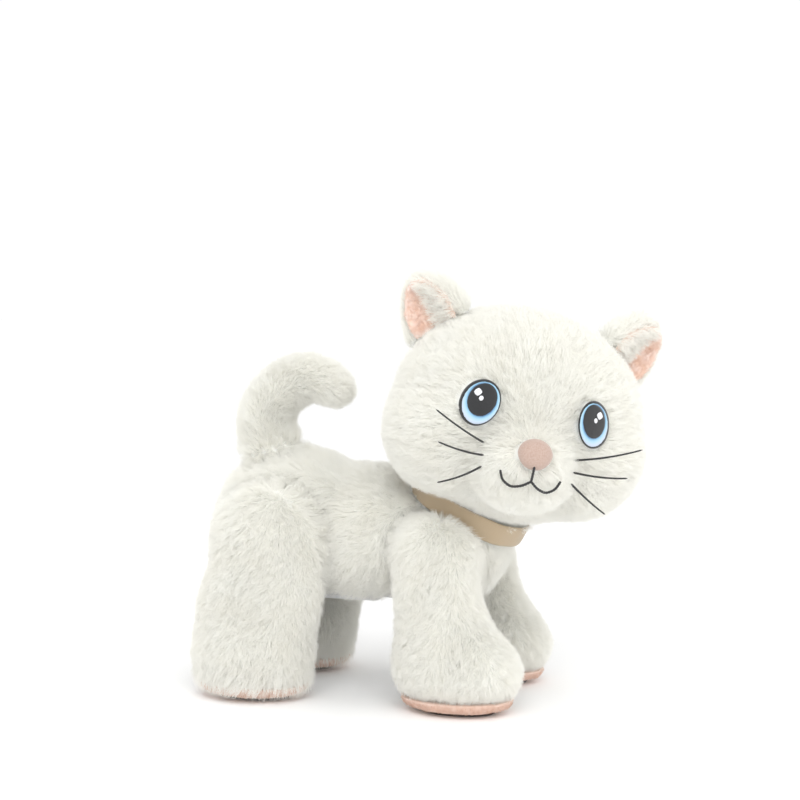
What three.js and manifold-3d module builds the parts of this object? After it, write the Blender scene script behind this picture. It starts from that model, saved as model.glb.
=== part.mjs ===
// An interactive plush kitten: stuffed fur skins over a plastic walking chassis.
// Millimetres, +Z up. The kitten faces -Y and its left side is +X.
import * as THREE from 'three';
import { mergeVertices } from 'three/addons/utils/BufferGeometryUtils.js';
import Module from 'manifold-3d';

const wasm = await Module();
wasm.setup();

// ---------------------------------------------------------------- driving dimensions
const GAP = 0.35; // between pieces that touch
const FUR_GAP = 1.5; // between a skin and a piece that moves past it
const SIDES = [['right', -1], ['left', 1]];

const AXLE_Z = 97; // height of the four leg pivots
const SHOULDER_Y = -54;
const HIP_Y = 57;
const LEG_X = 42; // paw centre from the middle
const AXLE_R = 2.5;
const LEG_SWING = 10; // degrees each way

const SOLE_T = 2;
const PAD_T = 7;
const FOOT_T = 3;
const PAD_Z = SOLE_T + GAP;
const FOOT_Z = PAD_Z + PAD_T + GAP;

const CHASSIS = { x: 21, front: -66, back: 70, bottom: 72, top: 122, wall: 2 };
const PARTING_GAP = 0.3;
const BAY = { x: 19, front: -25, back: 53, bottom: 63 }; // battery turret under the chassis
const DOOR = { front: -8, back: 52, t: 2.4 };
const CELL = { r: 5.25, length: 44.5, pitch: 11.2, z: 72.4, y: 17.5 }; // AAA
const LEVER = { x: 17, t: 2.8, arm: 12, pin: 1.4 };
const SLEEVE_R = 4.4; // the tube on the axle that joins a leg to its lever
const BAR = { x: 13.4, t: 3, travel: 2.2 };
const CRANK = { y: 2, x: 9.8, t: 2.8, r: 8, throw: 2.1, pin: 1.2 };

const NECK_LEAN = THREE.MathUtils.degToRad(28); // the neck leans forward
const NECK = new THREE.Vector3(0, -64, 121); // middle of the collar
const NECK_AXIS = new THREE.Vector3(0, -Math.sin(NECK_LEAN), Math.cos(NECK_LEAN));
const NECK_R = 36;
const NECK_SIDE = 44; // a front leg keeps this far from the neck's axis
const COLLAR = { r: 36.8, t: 2.2, width: 14 };
const POST = { r: 8, flange: 16, from: -14, to: 48 };

const HEAD = new THREE.Vector3(-9.5, -96, 181); // middle of the head as it is set down
const HEAD_AXIS = new THREE.Vector3(0.07, -0.265, 0.962).normalize();
const HEAD_TURN = THREE.MathUtils.degToRad(-67); // it looks to its right and a little up
const NECK_TOP = 7.6; // along the neck axis, just clear of the collar
const SKULL_R = 40;
const SKULL_T = 2.5;

const TAIL_Y = 63; // the tail wags about an upright pin here
const TAIL_Z = 140;
const TAIL_POST_R = 3;
const TAIL_BALL_R = 20;

// ---------------------------------------------------------------- shapes
const V = (x, y, z) => new THREE.Vector3(x, y, z);

// A closed geometry as a solid that can be joined and cut.
function solid(geometry) {
  if (!geometry.isBufferGeometry) return geometry;
  const bare = new THREE.BufferGeometry();
  bare.setAttribute('position', geometry.getAttribute('position'));
  if (geometry.index) bare.setIndex(geometry.index);
  const merged = mergeVertices(bare, 1e-3);
  const corners = [];
  const at = merged.index.array;
  for (let i = 0; i < at.length; i += 3) {
    const [a, b, c] = [at[i], at[i + 1], at[i + 2]];
    if (a !== b && b !== c && c !== a) corners.push(a, b, c);
  }
  return new wasm.Manifold(new wasm.Mesh({
    numProp: 3,
    vertProperties: merged.getAttribute('position').array,
    triVerts: new Uint32Array(corners),
  }));
}

// A solid back as a geometry.
function geometryOf(made) {
  const mesh = made.getMesh();
  const geometry = new THREE.BufferGeometry();
  geometry.setAttribute('position', new THREE.BufferAttribute(mesh.vertProperties, 3));
  geometry.setIndex(new THREE.BufferAttribute(mesh.triVerts, 1));
  return geometry;
}

const join = (...geometries) => geometries.map(solid).reduce((all, one) => all.add(one));
const cut = (body, ...cutters) => cutters.reduce((left, one) => left.subtract(solid(one)), solid(body));

function ball(centre, rx, ry, rz, across = 22, down = 14) {
  return new THREE.SphereGeometry(1, across, down).rotateX(Math.PI / 2)
    .scale(rx, ry, rz).translate(centre.x, centre.y, centre.z);
}

function block(x0, x1, y0, y1, z0, z1) {
  return new THREE.BoxGeometry(x1 - x0, y1 - y0, z1 - z0)
    .translate((x0 + x1) / 2, (y0 + y1) / 2, (z0 + z1) / 2);
}

// Turns a geometry made along +Z so that it runs along a direction, and moves it to a place.
function along(geometry, direction, place) {
  const turn = new THREE.Quaternion().setFromUnitVectors(V(0, 0, 1), direction.clone().normalize());
  return geometry.applyQuaternion(turn).translate(place.x, place.y, place.z);
}

function rod(from, to, r, sides = 16) {
  const line = to.clone().sub(from);
  const made = new THREE.CylinderGeometry(r, r, line.length(), sides).rotateX(Math.PI / 2);
  return along(made, line, from.clone().add(to).multiplyScalar(0.5));
}

// A box with rounded upright edges.
function tray(halfX, y0, y1, z0, z1, corner) {
  const shape = new THREE.Shape();
  shape.moveTo(-halfX + corner, y0);
  shape.lineTo(halfX - corner, y0);
  shape.absarc(halfX - corner, y0 + corner, corner, -Math.PI / 2, 0);
  shape.absarc(halfX - corner, y1 - corner, corner, 0, Math.PI / 2);
  shape.absarc(-halfX + corner, y1 - corner, corner, Math.PI / 2, Math.PI);
  shape.absarc(-halfX + corner, y0 + corner, corner, Math.PI, Math.PI * 1.5);
  return new THREE.ExtrudeGeometry(shape, { depth: z1 - z0, bevelEnabled: false, curveSegments: 4 })
    .translate(0, 0, z0);
}

// An upright disc with an oval outline.
function oval(centre, rx, ry, height, sides = 28) {
  return new THREE.CylinderGeometry(1, 1, height, sides).rotateX(Math.PI / 2)
    .scale(rx, ry, 1).translate(centre.x, centre.y, centre.z + height / 2);
}

// A round section swept along a smooth line through points.
function cord(points, r, steps, sides = 8) {
  const section = new THREE.Shape(new THREE.Path().absarc(0, 0, r, 0, Math.PI * 2).getPoints(sides / 2));
  return new THREE.ExtrudeGeometry(section, {
    steps,
    bevelEnabled: false,
    curveSegments: sides,
    extrudePath: new THREE.CatmullRomCurve3(points),
  });
}

// One rounded limb along a line of points, with a radius at each.
function limb(points, radii, steps, sides = 16) {
  const line = new THREE.CatmullRomCurve3(points);
  const frames = line.computeFrenetFrames(steps, false);
  const radiusAt = (t) => {
    const f = t * (radii.length - 1);
    const i = Math.min(Math.floor(f), radii.length - 2);
    return THREE.MathUtils.lerp(radii[i], radii[i + 1], THREE.MathUtils.smoothstep(f - i, 0, 1));
  };
  const place = [];
  const capRows = 3;
  const ring = (centre, n, b, r) => {
    for (let k = 0; k < sides; k++) {
      const a = (k / sides) * Math.PI * 2;
      place.push(...centre.clone().addScaledVector(n, r * Math.cos(a)).addScaledVector(b, r * Math.sin(a)));
    }
  };
  const cap = (t, sign) => {
    const i = Math.round(t * steps);
    const [n, b, out] = [frames.normals[i], frames.binormals[i], frames.tangents[i]];
    const r = radiusAt(t);
    const rows = [...Array(capRows).keys()].map((k) => ((k + 1) / (capRows + 1)) * (Math.PI / 2));
    const order = sign < 0 ? rows.reverse() : rows;
    for (const a of order) {
      ring(line.getPoint(t).addScaledVector(out, sign * r * Math.sin(a)), n, b, r * Math.cos(a));
    }
  };
  place.push(...line.getPoint(0).addScaledVector(frames.tangents[0], -radiusAt(0)));
  cap(0, -1);
  for (let i = 0; i <= steps; i++) {
    ring(line.getPoint(i / steps), frames.normals[i], frames.binormals[i], radiusAt(i / steps));
  }
  cap(1, 1);
  place.push(...line.getPoint(1).addScaledVector(frames.tangents[steps], radiusAt(1)));
  const rings = (place.length / 3 - 2) / sides;
  const faces = [];
  const last = place.length / 3 - 1;
  for (let k = 0; k < sides; k++) {
    const next = (k + 1) % sides;
    faces.push(0, 1 + next, 1 + k);
    for (let i = 0; i < rings - 1; i++) {
      const [a, b] = [1 + i * sides + k, 1 + i * sides + next];
      faces.push(a, b, b + sides, a, b + sides, a + sides);
    }
    faces.push(last, 1 + (rings - 1) * sides + k, 1 + (rings - 1) * sides + next);
  }
  const geometry = new THREE.BufferGeometry();
  geometry.setAttribute('position', new THREE.Float32BufferAttribute(place, 3));
  geometry.setIndex(faces);
  return geometry;
}

// A smooth upright body through oval rings, each given as [x, y, z, half width, half length].
function loft(rings, steps, sides = 18) {
  const middles = new THREE.CatmullRomCurve3(rings.map(([x, y, z]) => V(x, y, z)));
  const sizes = new THREE.CatmullRomCurve3(rings.map(([, , z, rx, ry]) => V(rx, ry, z)));
  const place = [];
  for (let i = 0; i <= steps; i++) {
    const [m, s] = [middles.getPoint(i / steps), sizes.getPoint(i / steps)];
    for (let k = 0; k < sides; k++) {
      const a = (k / sides) * Math.PI * 2;
      place.push(m.x + s.x * Math.cos(a), m.y + s.y * Math.sin(a), m.z);
    }
  }
  const faces = [];
  for (let k = 0; k < sides; k++) {
    const next = (k + 1) % sides;
    for (let i = 0; i < steps; i++) {
      const [a, b] = [i * sides + k, i * sides + next];
      faces.push(a, b, b + sides, a, b + sides, a + sides);
    }
  }
  for (let k = 1; k < sides - 1; k++) {
    const top = steps * sides;
    faces.push(0, k + 1, k, top, top + k, top + k + 1);
  }
  const geometry = new THREE.BufferGeometry();
  geometry.setAttribute('position', new THREE.Float32BufferAttribute(place, 3));
  geometry.setIndex(faces);
  return geometry;
}

// ---------------------------------------------------------------- colours and the group
const pet = new THREE.Group();
const finishes = {
  fur: new THREE.MeshStandardMaterial({ color: 0xe6e5e0, roughness: 0.95 }),
  pink: new THREE.MeshStandardMaterial({ color: 0xdcb6a4, roughness: 0.85 }),
  ribbon: new THREE.MeshStandardMaterial({ color: 0xd0b88f, roughness: 0.6 }),
  eye: new THREE.MeshStandardMaterial({ color: 0x23252a, roughness: 0.45 }),
  thread: new THREE.MeshStandardMaterial({ color: 0x141416, roughness: 0.6 }),
  sole: new THREE.MeshStandardMaterial({ color: 0x2a2625, roughness: 0.8 }),
  casing: new THREE.MeshStandardMaterial({ color: 0xdfe0e2, roughness: 0.5 }),
  gear: new THREE.MeshStandardMaterial({ color: 0xf2efe6, roughness: 0.4 }),
  steel: new THREE.MeshStandardMaterial({ color: 0xb9bbbf, roughness: 0.3, metalness: 1 }),
  board: new THREE.MeshStandardMaterial({ color: 0x2f6b3f, roughness: 0.5 }),
  cell: new THREE.MeshStandardMaterial({ color: 0x3b4a63, roughness: 0.4, metalness: 0.4 }),
  paper: new THREE.MeshStandardMaterial({ color: 0x2b2b2d, roughness: 0.7 }),
};

function add(name, made, finish, parent = pet) {
  const geometry = made instanceof THREE.BufferGeometry ? made : geometryOf(made);
  const mesh = new THREE.Mesh(geometry, finishes[finish]);
  mesh.name = name;
  parent.add(mesh);
  return mesh;
}

// A point on the neck's axis, and a rod along it, by distance up from the middle of the collar.
const neckPoint = (at) => NECK.clone().addScaledVector(NECK_AXIS, at);
const neckRod = (from, to, r, sides = 16) => rod(neckPoint(from), neckPoint(to), r, sides);

// ---------------------------------------------------------------- legs
// Each leg's upper end is a dome about its pivot, so that it turns inside its pocket in the body.
// Rings run from the foot up: distance from the middle, place along the body, height, half sizes.
const LEGS = [
  {
    name: 'front', lever: -1, y: SHOULDER_Y, dome: [27, 28.5, 28.5], domeX: 39, inner: 37, paw: -67,
    rings: [[42, -67, FOOT_Z, 26, 37], [42, -67, 25, 31, 42], [42.5, -65, 38, 30, 39],
      [45, -60, 52, 25.5, 31], [46, -56, 68, 22.5, 28], [48, -54.5, 84, 20, 27], [51, -54, 104, 13, 22]],
  },
  {
    name: 'hind', lever: 1, y: HIP_Y, dome: [31, 41, 41], domeX: 35, inner: 34, paw: 67,
    rings: [[42, 67, FOOT_Z, 26, 36], [42, 67, 25, 31, 41.5], [43, 66, 38, 29, 41],
      [45, 63, 52, 24, 41], [46, 60, 68, 22, 41.5], [48, 57.5, 84, 19, 37.5], [50, 57, 104, 13, 31]],
  },
];
const HUB = { in: 42, out: 53, r: 7.5 };
const FINE = { across: 16, down: 8, steps: 8 };
const COARSE = { across: 14, down: 7, steps: 5 };

function legShape(leg, side, more = 0, sweep = 0, grain = FINE) {
  const rings = leg.rings.map(([x, y, z, rx, ry]) => [
    side * x, y, z, rx + more, ry + more + sweep * Math.max(AXLE_Z - z, 0),
  ]);
  const [rx, ry, rz] = leg.dome.map((r) => r + more);
  const flatSide = side * (leg.inner - more);
  return join(
    cut(
      ball(V(side * leg.domeX, leg.y, AXLE_Z), rx, ry, rz, grain.across + 2, grain.down + 2),
      block(Math.min(-side * 99, flatSide), Math.max(-side * 99, flatSide), -199, 199, -9, 199),
      ...(sweep ? [] : [neckRod(-40, 40, NECK_SIDE, 20)]),
    ),
    loft(rings, grain.steps, grain.across),
  );
}

// The moulding inside a leg: lever, sleeve over the axle, strut and foot plate in one piece.
function strutShape(leg, side, more) {
  const reach = side * 46;
  const end = side * (HUB.out + more);
  return join(
    rod(V(side * 15.6, leg.y, AXLE_Z), V(end, leg.y, AXLE_Z), SLEEVE_R + more, 10),
    rod(V(side * (HUB.in - more), leg.y, AXLE_Z), V(end, leg.y, AXLE_Z), HUB.r + more, 12),
    rod(V(reach, leg.y, AXLE_Z - 3), V(side * LEG_X, leg.paw * 0.97, FOOT_Z + 1), 4.5 + more, 6),
    oval(V(side * LEG_X, leg.paw, FOOT_Z - more), 17 + more, 24 + more, FOOT_T + 2 * more, 12),
  );
}

for (const leg of LEGS) {
  for (const [sideName, side] of SIDES) {
    const label = leg.name + '_' + sideName;
    const [y, z, x] = [leg.y, AXLE_Z, side * LEVER.x];
    const ground = block(-99, 99, -199, 199, -9, FOOT_Z);
    const sleeveWay = rod(V(side * 10, y, z), V(side * 46, y, z), SLEEVE_R + GAP, 10);
    const strutWay = strutShape(leg, side, GAP);
    add('leg_skin_' + label, cut(legShape(leg, side), ground, sleeveWay, strutWay), 'fur');

    // The lever's fork takes the drive bar's pin, below the axle in front and above it behind.
    const tip = leg.lever * (LEVER.arm + 2);
    const mouth = leg.lever * (LEVER.arm - 3);
    const forkHalf = LEVER.pin + 0.3;
    const forkFrom = Math.min(mouth, 2 * tip);
    const forkTo = Math.max(mouth, 2 * tip);
    const lever = join(
      rod(V(x - LEVER.t / 2, y, z), V(x + LEVER.t / 2, y, z), 5.4, 14),
      block(x - LEVER.t / 2, x + LEVER.t / 2, y - 3.6, y + 3.6, z + Math.min(tip, 0), z + Math.max(tip, 0)),
    );
    add('leg_frame_' + label, cut(
      join(strutShape(leg, side, 0), lever),
      ground,
      rod(V(side * 10, y, z), V(side * 60, y, z), AXLE_R + GAP, 10),
      block(x - 5, x + 5, y - forkHalf, y + forkHalf, z + forkFrom, z + forkTo),
    ), 'casing');

    // A stuffed pad under the paw, rounded off at its lower edge, on a rubber sole.
    const pad = cut(ball(V(side * LEG_X, leg.paw, PAD_Z + PAD_T), 25, 36, PAD_T + 5, 18, 8),
      block(-99, 99, -199, 199, PAD_Z + PAD_T, 99), block(-99, 99, -199, 199, -99, PAD_Z));
    add('paw_pad_' + label, pad, 'pink');
    add('paw_sole_' + label, oval(V(side * LEG_X, leg.paw, 0), 14, 24, SOLE_T, 16), 'sole');
  }
  add('leg_axle_' + leg.name, rod(V(-52.5, leg.y, AXLE_Z), V(52.5, leg.y, AXLE_Z), AXLE_R, 10), 'steel');
}

// ---------------------------------------------------------------- drive
for (const [sideName, side] of SIDES) {
  const [low, high] = [AXLE_Z - LEVER.arm, AXLE_Z + LEVER.arm];
  const [x0, x1] = [side * BAR.x - BAR.t / 2, side * BAR.x + BAR.t / 2];
  const pin = (y, z) => rod(V(side * BAR.x, y, z), V(side * (LEVER.x + LEVER.t / 2), y, z), LEVER.pin, 12);
  const bar = join(
    block(x0, x1, SHOULDER_Y - 3, HIP_Y - 8, low - 2.4, low + 2.4),
    block(x0, x1, HIP_Y - 13, HIP_Y - 8, low - 2.4, high + 2.4),
    block(x0, x1, HIP_Y - 13, HIP_Y + 3, high - 2.4, high + 2.4),
    block(x0, x1, CRANK.y - 8.4, CRANK.y + 8.4, low - 2.4, AXLE_Z + 9),
    pin(SHOULDER_Y, low),
    pin(HIP_Y, high),
  );
  // Wide enough that the crank pin never touches the bar, however the two stand.
  const slotHalf = CRANK.throw + BAR.travel + CRANK.pin + 0.4;
  add('drive_bar_' + sideName,
    cut(bar, block(x0 - 2, x1 + 2, CRANK.y - slotHalf, CRANK.y + slotHalf, low + 3.4, AXLE_Z + 6)), 'gear');

  // The right disc is moulded with the shaft, and the left one is pressed on.
  const pinZ = AXLE_Z + side * CRANK.throw;
  const [disc0, disc1] = [side * CRANK.x - CRANK.t / 2, side * CRANK.x + CRANK.t / 2];
  const disc = join(
    rod(V(disc0, CRANK.y, AXLE_Z), V(disc1, CRANK.y, AXLE_Z), CRANK.r),
    rod(V(side * CRANK.x, CRANK.y, pinZ), V(side * (BAR.x + BAR.t / 2), CRANK.y, pinZ), CRANK.pin, 10),
  );
  const shaftEnd = CRANK.x + 0.4;
  add('crank_' + sideName, side < 0
    ? join(disc, rod(V(-CRANK.x, CRANK.y, AXLE_Z), V(shaftEnd, CRANK.y, AXLE_Z), 1.5, 12))
    : cut(disc, rod(V(5, CRANK.y, AXLE_Z), V(shaftEnd + GAP, CRANK.y, AXLE_Z), 1.5 + GAP, 12)), 'gear');
}
add('gearbox_case', cut(
  tray(7.8, CRANK.y - 10, CRANK.y + 16, 83, 111, 2),
  rod(V(-20, CRANK.y, AXLE_Z), V(20, CRANK.y, AXLE_Z), 1.5 + GAP),
), 'gear');
add('drive_motor', join(
  rod(V(0, CRANK.y + 16.4, AXLE_Z), V(0, CRANK.y + 43, AXLE_Z), 10, 24),
  rod(V(0, CRANK.y + 42, AXLE_Z), V(0, CRANK.y + 46, AXLE_Z), 3.2, 16),
), 'steel');

// ---------------------------------------------------------------- chassis
const { x: CX, front: CF, back: CB, bottom: CZ0, top: CZ1, wall: CW } = CHASSIS;
const axleBores = LEGS.flatMap((leg) => [
  rod(V(-60, leg.y, AXLE_Z), V(60, leg.y, AXLE_Z), AXLE_R + 0.2, 10),
  ...SIDES.map(([, side]) => (
    rod(V(side * 15, leg.y, AXLE_Z), V(side * 60, leg.y, AXLE_Z), SLEEVE_R + GAP, 10)
  )),
]);
const bay = BAY;
// Pairs of posts that hold each axle between the levers.
const postTop = AXLE_Z - PARTING_GAP / 2;
const axlePosts = LEGS.flatMap((leg) => SIDES.map(([, side]) => {
  const x = side * 9.5;
  return block(x - 1.5, x + 1.5, leg.y - 3.5, leg.y + 3.5, CZ0 + 7, postTop);
}));
const cellsEnd = CELL.y + CELL.length / 2;
const emptied = cut(
  join(
    tray(CX, CF, CB, CZ0, AXLE_Z - PARTING_GAP / 2, 6),
    tray(bay.x, bay.front, bay.back, bay.bottom, CZ0 + 1, 4),
  ),
  tray(CX - CW, CF + CW, CB - CW, CZ0 + 8, AXLE_Z + 9, 4.5),
);
const lower = cut(
  join(emptied, ...axlePosts),
  tray(bay.x - CW, DOOR.front + 1.5, cellsEnd + 1.5, bay.bottom - 9, CELL.z + CELL.r + 0.8, 1.5),
  ...axleBores,
  block(-4.2, 4.2, -22.4, -11, 68, CZ0 + 12),
  block(-2.2, 2.2, -21.4, -13, bay.bottom - 1, 69),
  rod(V(0, DOOR.back - 4.5, 50), V(0, DOOR.back - 4.5, 72), 1.6, 12),
);
const speakerY = -36;
const grille = [[0, 0], [-6, 0], [6, 0], [0, -6], [0, 6]].map(([x, y]) => [x, speakerY + y]);
const grilleHoles = grille.map(([x, y]) => rod(V(x, y, 60), V(x, y, 85), 1.5, 6));
add('chassis_lower', cut(lower, ...grilleHoles), 'casing');

const chamfer = along(new THREE.BoxGeometry(120, 120, 80).translate(0, 0, 40), NECK_AXIS,
  neckPoint(POST.from - GAP));
const buttonY = 12;
const upper = cut(
  cut(
    tray(CX, CF, CB, AXLE_Z + PARTING_GAP / 2, CZ1, 6),
    chamfer,
  ),
  ...axleBores,
  rod(V(0, buttonY, CZ1 - 9), V(0, buttonY, CZ1 + 9), 3.4, 16),
);
const roomInside = cut(
  tray(CX - CW, CF + CW, CB - CW, AXLE_Z - 9, CZ1 - CW, 4.5),
  along(new THREE.BoxGeometry(120, 120, 80).translate(0, 0, 40), NECK_AXIS,
    neckPoint(POST.from - GAP - CW)),
);
// The upper half carries the upright pin that the tail turns on.
const tailPin = rod(V(0, TAIL_Y, CZ1 - 1), V(0, TAIL_Y, TAIL_Z + 2), TAIL_POST_R, 16);
const tailBoss = rod(V(0, TAIL_Y, CZ1 - 1), V(0, TAIL_Y, CZ1 + 3), 5, 16);
add('chassis_upper', join(upper.subtract(roomInside), tailPin, tailBoss), 'casing');

add('circuit_board', block(-15, 15, 30, 56, 112.5, 114.1), 'board');
add('speaker', join(
  rod(V(0, speakerY, 80.4), V(0, speakerY, 84), 11.4, 24),
  rod(V(0, speakerY, 83), V(0, speakerY, 89), 7, 16),
), 'paper');
add('power_switch', join(
  block(-3.4, 3.4, -22, -14.6, 68.4, CZ0 + 2.2),
  block(-1.8, 1.8, -21, -16.8, bay.bottom - 1.2, CZ0),
), 'thread');
for (const [i, name] of ['right', 'middle', 'left'].entries()) {
  const x = (i - 1) * CELL.pitch;
  add('battery_' + name, join(
    rod(V(x, CELL.y - CELL.length / 2, CELL.z), V(x, CELL.y + CELL.length / 2 - 1, CELL.z), CELL.r, 20),
    rod(V(x, CELL.y, CELL.z), V(x, CELL.y + CELL.length / 2, CELL.z), 1.9, 12),
  ), 'cell');
}
const doorTop = bay.bottom - PARTING_GAP;
const screwY = DOOR.back - 4.5;
add('battery_door', cut(
  join(tray(bay.x, DOOR.front, DOOR.back, doorTop - DOOR.t, doorTop, 4)),
  rod(V(0, screwY, 50), V(0, screwY, 72), 1.6, 12),
  rod(V(0, screwY, 50), V(0, screwY, doorTop - 1), 2.9, 16),
), 'casing');
add('door_screw', cut(
  join(
    rod(V(0, screwY, doorTop - DOOR.t + 0.2), V(0, screwY, doorTop - 1.3), 2.5, 16),
    rod(V(0, screwY, doorTop - 1.4), V(0, screwY, 71), 1.2, 12),
  ),
  block(-1.5, 1.5, screwY - 0.35, screwY + 0.35, 50, doorTop - DOOR.t + 0.7),
  block(-0.35, 0.35, screwY - 1.5, screwY + 1.5, 50, doorTop - DOOR.t + 0.7),
), 'steel');
add('back_button', join(
  rod(V(0, buttonY, CZ1 + 2.8), V(0, buttonY, CZ1 + 5), 12, 24),
  rod(V(0, buttonY, CZ1 - 6), V(0, buttonY, CZ1 + 3), 3, 16),
), 'casing');

// ---------------------------------------------------------------- neck
const neckTurned = (geometry, at) => along(geometry, NECK_AXIS, neckPoint(at));
add('neck_post', join(
  neckRod(POST.from, POST.from + 3, POST.flange),
  neckRod(POST.from, POST.to, POST.r),
), 'casing');

// A flat band around the neck.
function band(r, t, width) {
  const h = width / 2;
  const profile = [[r, -h], [r + t, -h], [r + t, h], [r, h], [r, -h]];
  const lathe = new THREE.LatheGeometry(profile.map(([a, b]) => new THREE.Vector2(a, b)), 28);
  return neckTurned(lathe.rotateX(Math.PI / 2), 0);
}
add('collar', band(COLLAR.r, COLLAR.t, COLLAR.width), 'ribbon');

// ---------------------------------------------------------------- body skin
// Room for the head at every turn: a bowl about the neck axis, and the flat top of the neck.
const bowl = neckTurned(ball(V(0, 0, 0), 104, 104, 77, 18, 12), 66);
const headRoom = join(
  cut(bowl, neckRod(-40, NECK_TOP, 45, 20)),
  neckRod(NECK_TOP, 60, 48, 20),
);
const torso = join(
  ball(V(0, 50, 106), 54, 56, 48.5, 18, 12),
  ball(V(0, 0, 102), 47, 70, 43, 18, 12),
  ball(V(0, -46, 103), 48, 46, 42, 16, 12),
  limb([V(0, -47, 96), neckPoint(-16), neckPoint(8)], [37, NECK_R, NECK_R], 3, 20),
);
const sweep = Math.tan(THREE.MathUtils.degToRad(LEG_SWING));
const legRoom = LEGS.flatMap((leg) => SIDES.map(([, side]) => (
  legShape(leg, side, FUR_GAP + 2, sweep, COARSE)
)));
const cavity = [
  tray(CX + 0.6, CF - 0.6, CB + 0.6, CZ0 - 0.6, CZ1 + 0.6, 6),
  tray(bay.x + 0.6, bay.front - 0.6, bay.back + 0.6, 40, CZ0, 4),
  rod(V(0, buttonY, CZ1), V(0, buttonY, CZ1 + 6), 13.5, 20),
  neckRod(POST.from - 4, POST.from + 4, POST.flange + 1.5),
  neckRod(POST.from, 30, POST.r + 2),
  rod(V(0, TAIL_Y, CZ1), V(0, TAIL_Y, CZ1 + 5), 6, 16),
  ...LEGS.map((leg) => rod(V(-50, leg.y, AXLE_Z), V(50, leg.y, AXLE_Z), SLEEVE_R + 1.6, 12)),
];
// The tail's root is a ball about its pin, in a socket that lets the tail swing.
const TAIL_LINE = [
  V(0, TAIL_Y, TAIL_Z), V(0, 72, 158), V(0, 73, 176), V(0, 60, 193), V(0, 43, 200), V(0, 27, 194),
];
const tailRoom = join(
  ball(V(0, TAIL_Y, TAIL_Z), TAIL_BALL_R + FUR_GAP, TAIL_BALL_R + FUR_GAP, TAIL_BALL_R + FUR_GAP, 14, 8),
  limb(TAIL_LINE.slice(0, 3), [TAIL_BALL_R + FUR_GAP, 24, 25], 4, 14),
);
const collarRoom = band(COLLAR.r - GAP, COLLAR.t + 6, COLLAR.width + 2 * GAP);
add('body_skin', cut(torso, headRoom, collarRoom, tailRoom, ...legRoom, ...cavity), 'fur');

// ---------------------------------------------------------------- tail
const tailRod = (more) => join(
  limb(TAIL_LINE.slice(0, 5), [4 + more, 4 + more], 7, 8),
  rod(V(0, TAIL_Y, TAIL_Z - 13 - more), V(0, TAIL_Y, TAIL_Z + 5 + more), 6.5 + more, 16),
);
const pinHole = (more) => rod(V(0, TAIL_Y, 100), V(0, TAIL_Y, TAIL_Z + 2 + more), TAIL_POST_R + more, 16);
add('tail_skin', cut(
  limb(TAIL_LINE, [TAIL_BALL_R, 19.5, 19, 18, 16.5, 14.5], 10, 14),
  tailRod(GAP),
  rod(V(0, TAIL_Y, 100), V(0, TAIL_Y, TAIL_Z - 10), 7, 16),
  block(-30, 30, 30, 99, 100, CZ1 + 3.5),
), 'fur');
add('tail_core', cut(tailRod(0), pinHole(GAP)), 'casing');

// ---------------------------------------------------------------- head
// The head is modelled facing -Y about its own middle, then turned and leaned as it is set down.
const head = new THREE.Group();
head.position.copy(HEAD);
head.quaternion.setFromAxisAngle(HEAD_AXIS, HEAD_TURN);
head.updateMatrix();
pet.add(head);
const intoHead = head.matrix.clone().invert();
const headLocal = (geometry) => geometry.applyMatrix4(intoHead);

// Ovals that make up the head: middle, then half sizes.
const HEAD_OVALS = [
  [[0, 0, 0], [79, 66, 67]],
  [[36, -3, -16], [46, 52, 44]],
  [[-36, -3, -16], [46, 52, 44]],
  [[0, -44, -38], [31, 29, 27]],
];
const headShape = (more, across = 18, down = 12) => join(...HEAD_OVALS.map(
  ([at, r]) => ball(V(...at), r[0] + more, r[1] + more, r[2] + more, across, down),
));

// How far forward the head's surface is at a place on the face.
function faceY(x, z) {
  return Math.min(...HEAD_OVALS.map(([at, r]) => {
    const left = 1 - ((x - at[0]) / r[0]) ** 2 - ((z - at[2]) / r[2]) ** 2;
    return left > 0 ? at[1] - r[1] * Math.sqrt(left) : 0;
  }));
}

// Under the chin the skin opens over the neck and the collar.
const chinOpening = join(neckRod(-30, NECK_TOP + FUR_GAP, 47, 20), neckRod(-20, 40, 15));
add('head_skin', cut(
  headShape(0),
  ball(V(0, 0, 0), SKULL_R + 2, SKULL_R + 2, SKULL_R + 2, 14, 10),
  rod(V(0, 4, 30), V(0, 4, SKULL_R + 7.5), 10, 16),
  headLocal(geometryOf(chinOpening)),
), 'fur', head);

// The skull is a ball in two shells, open round the neck post and under the touch button.
const skull = cut(
  ball(V(0, 0, 0), SKULL_R, SKULL_R, SKULL_R, 16, 10),
  ball(V(0, 0, 0), SKULL_R - SKULL_T, SKULL_R - SKULL_T, SKULL_R - SKULL_T, 12, 8),
  headLocal(neckRod(-20, POST.to + 4, POST.r + 0.6)),
  rod(V(0, 4, 20), V(0, 4, 60), 3.4, 16),
);
const half = (side) => skull.subtract(solid(block(-60, 60, Math.min(side * 60, side * -0.15),
  Math.max(side * 60, side * -0.15), -60, 60)));
add('skull_front', half(1), 'casing', head);
add('skull_back', half(-1), 'casing', head);
add('head_button', join(
  rod(V(0, 4, SKULL_R + 2.6), V(0, 4, SKULL_R + 4.6), 8, 20),
  rod(V(0, 4, SKULL_R - 9), V(0, 4, SKULL_R + 3), 3, 16),
), 'casing', head);
const servoBox = new THREE.BoxGeometry(22, 12, 20);
add('neck_servo', join(headLocal(neckTurned(servoBox, POST.to + 1 + 10 + GAP))), 'paper', head);

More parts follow.
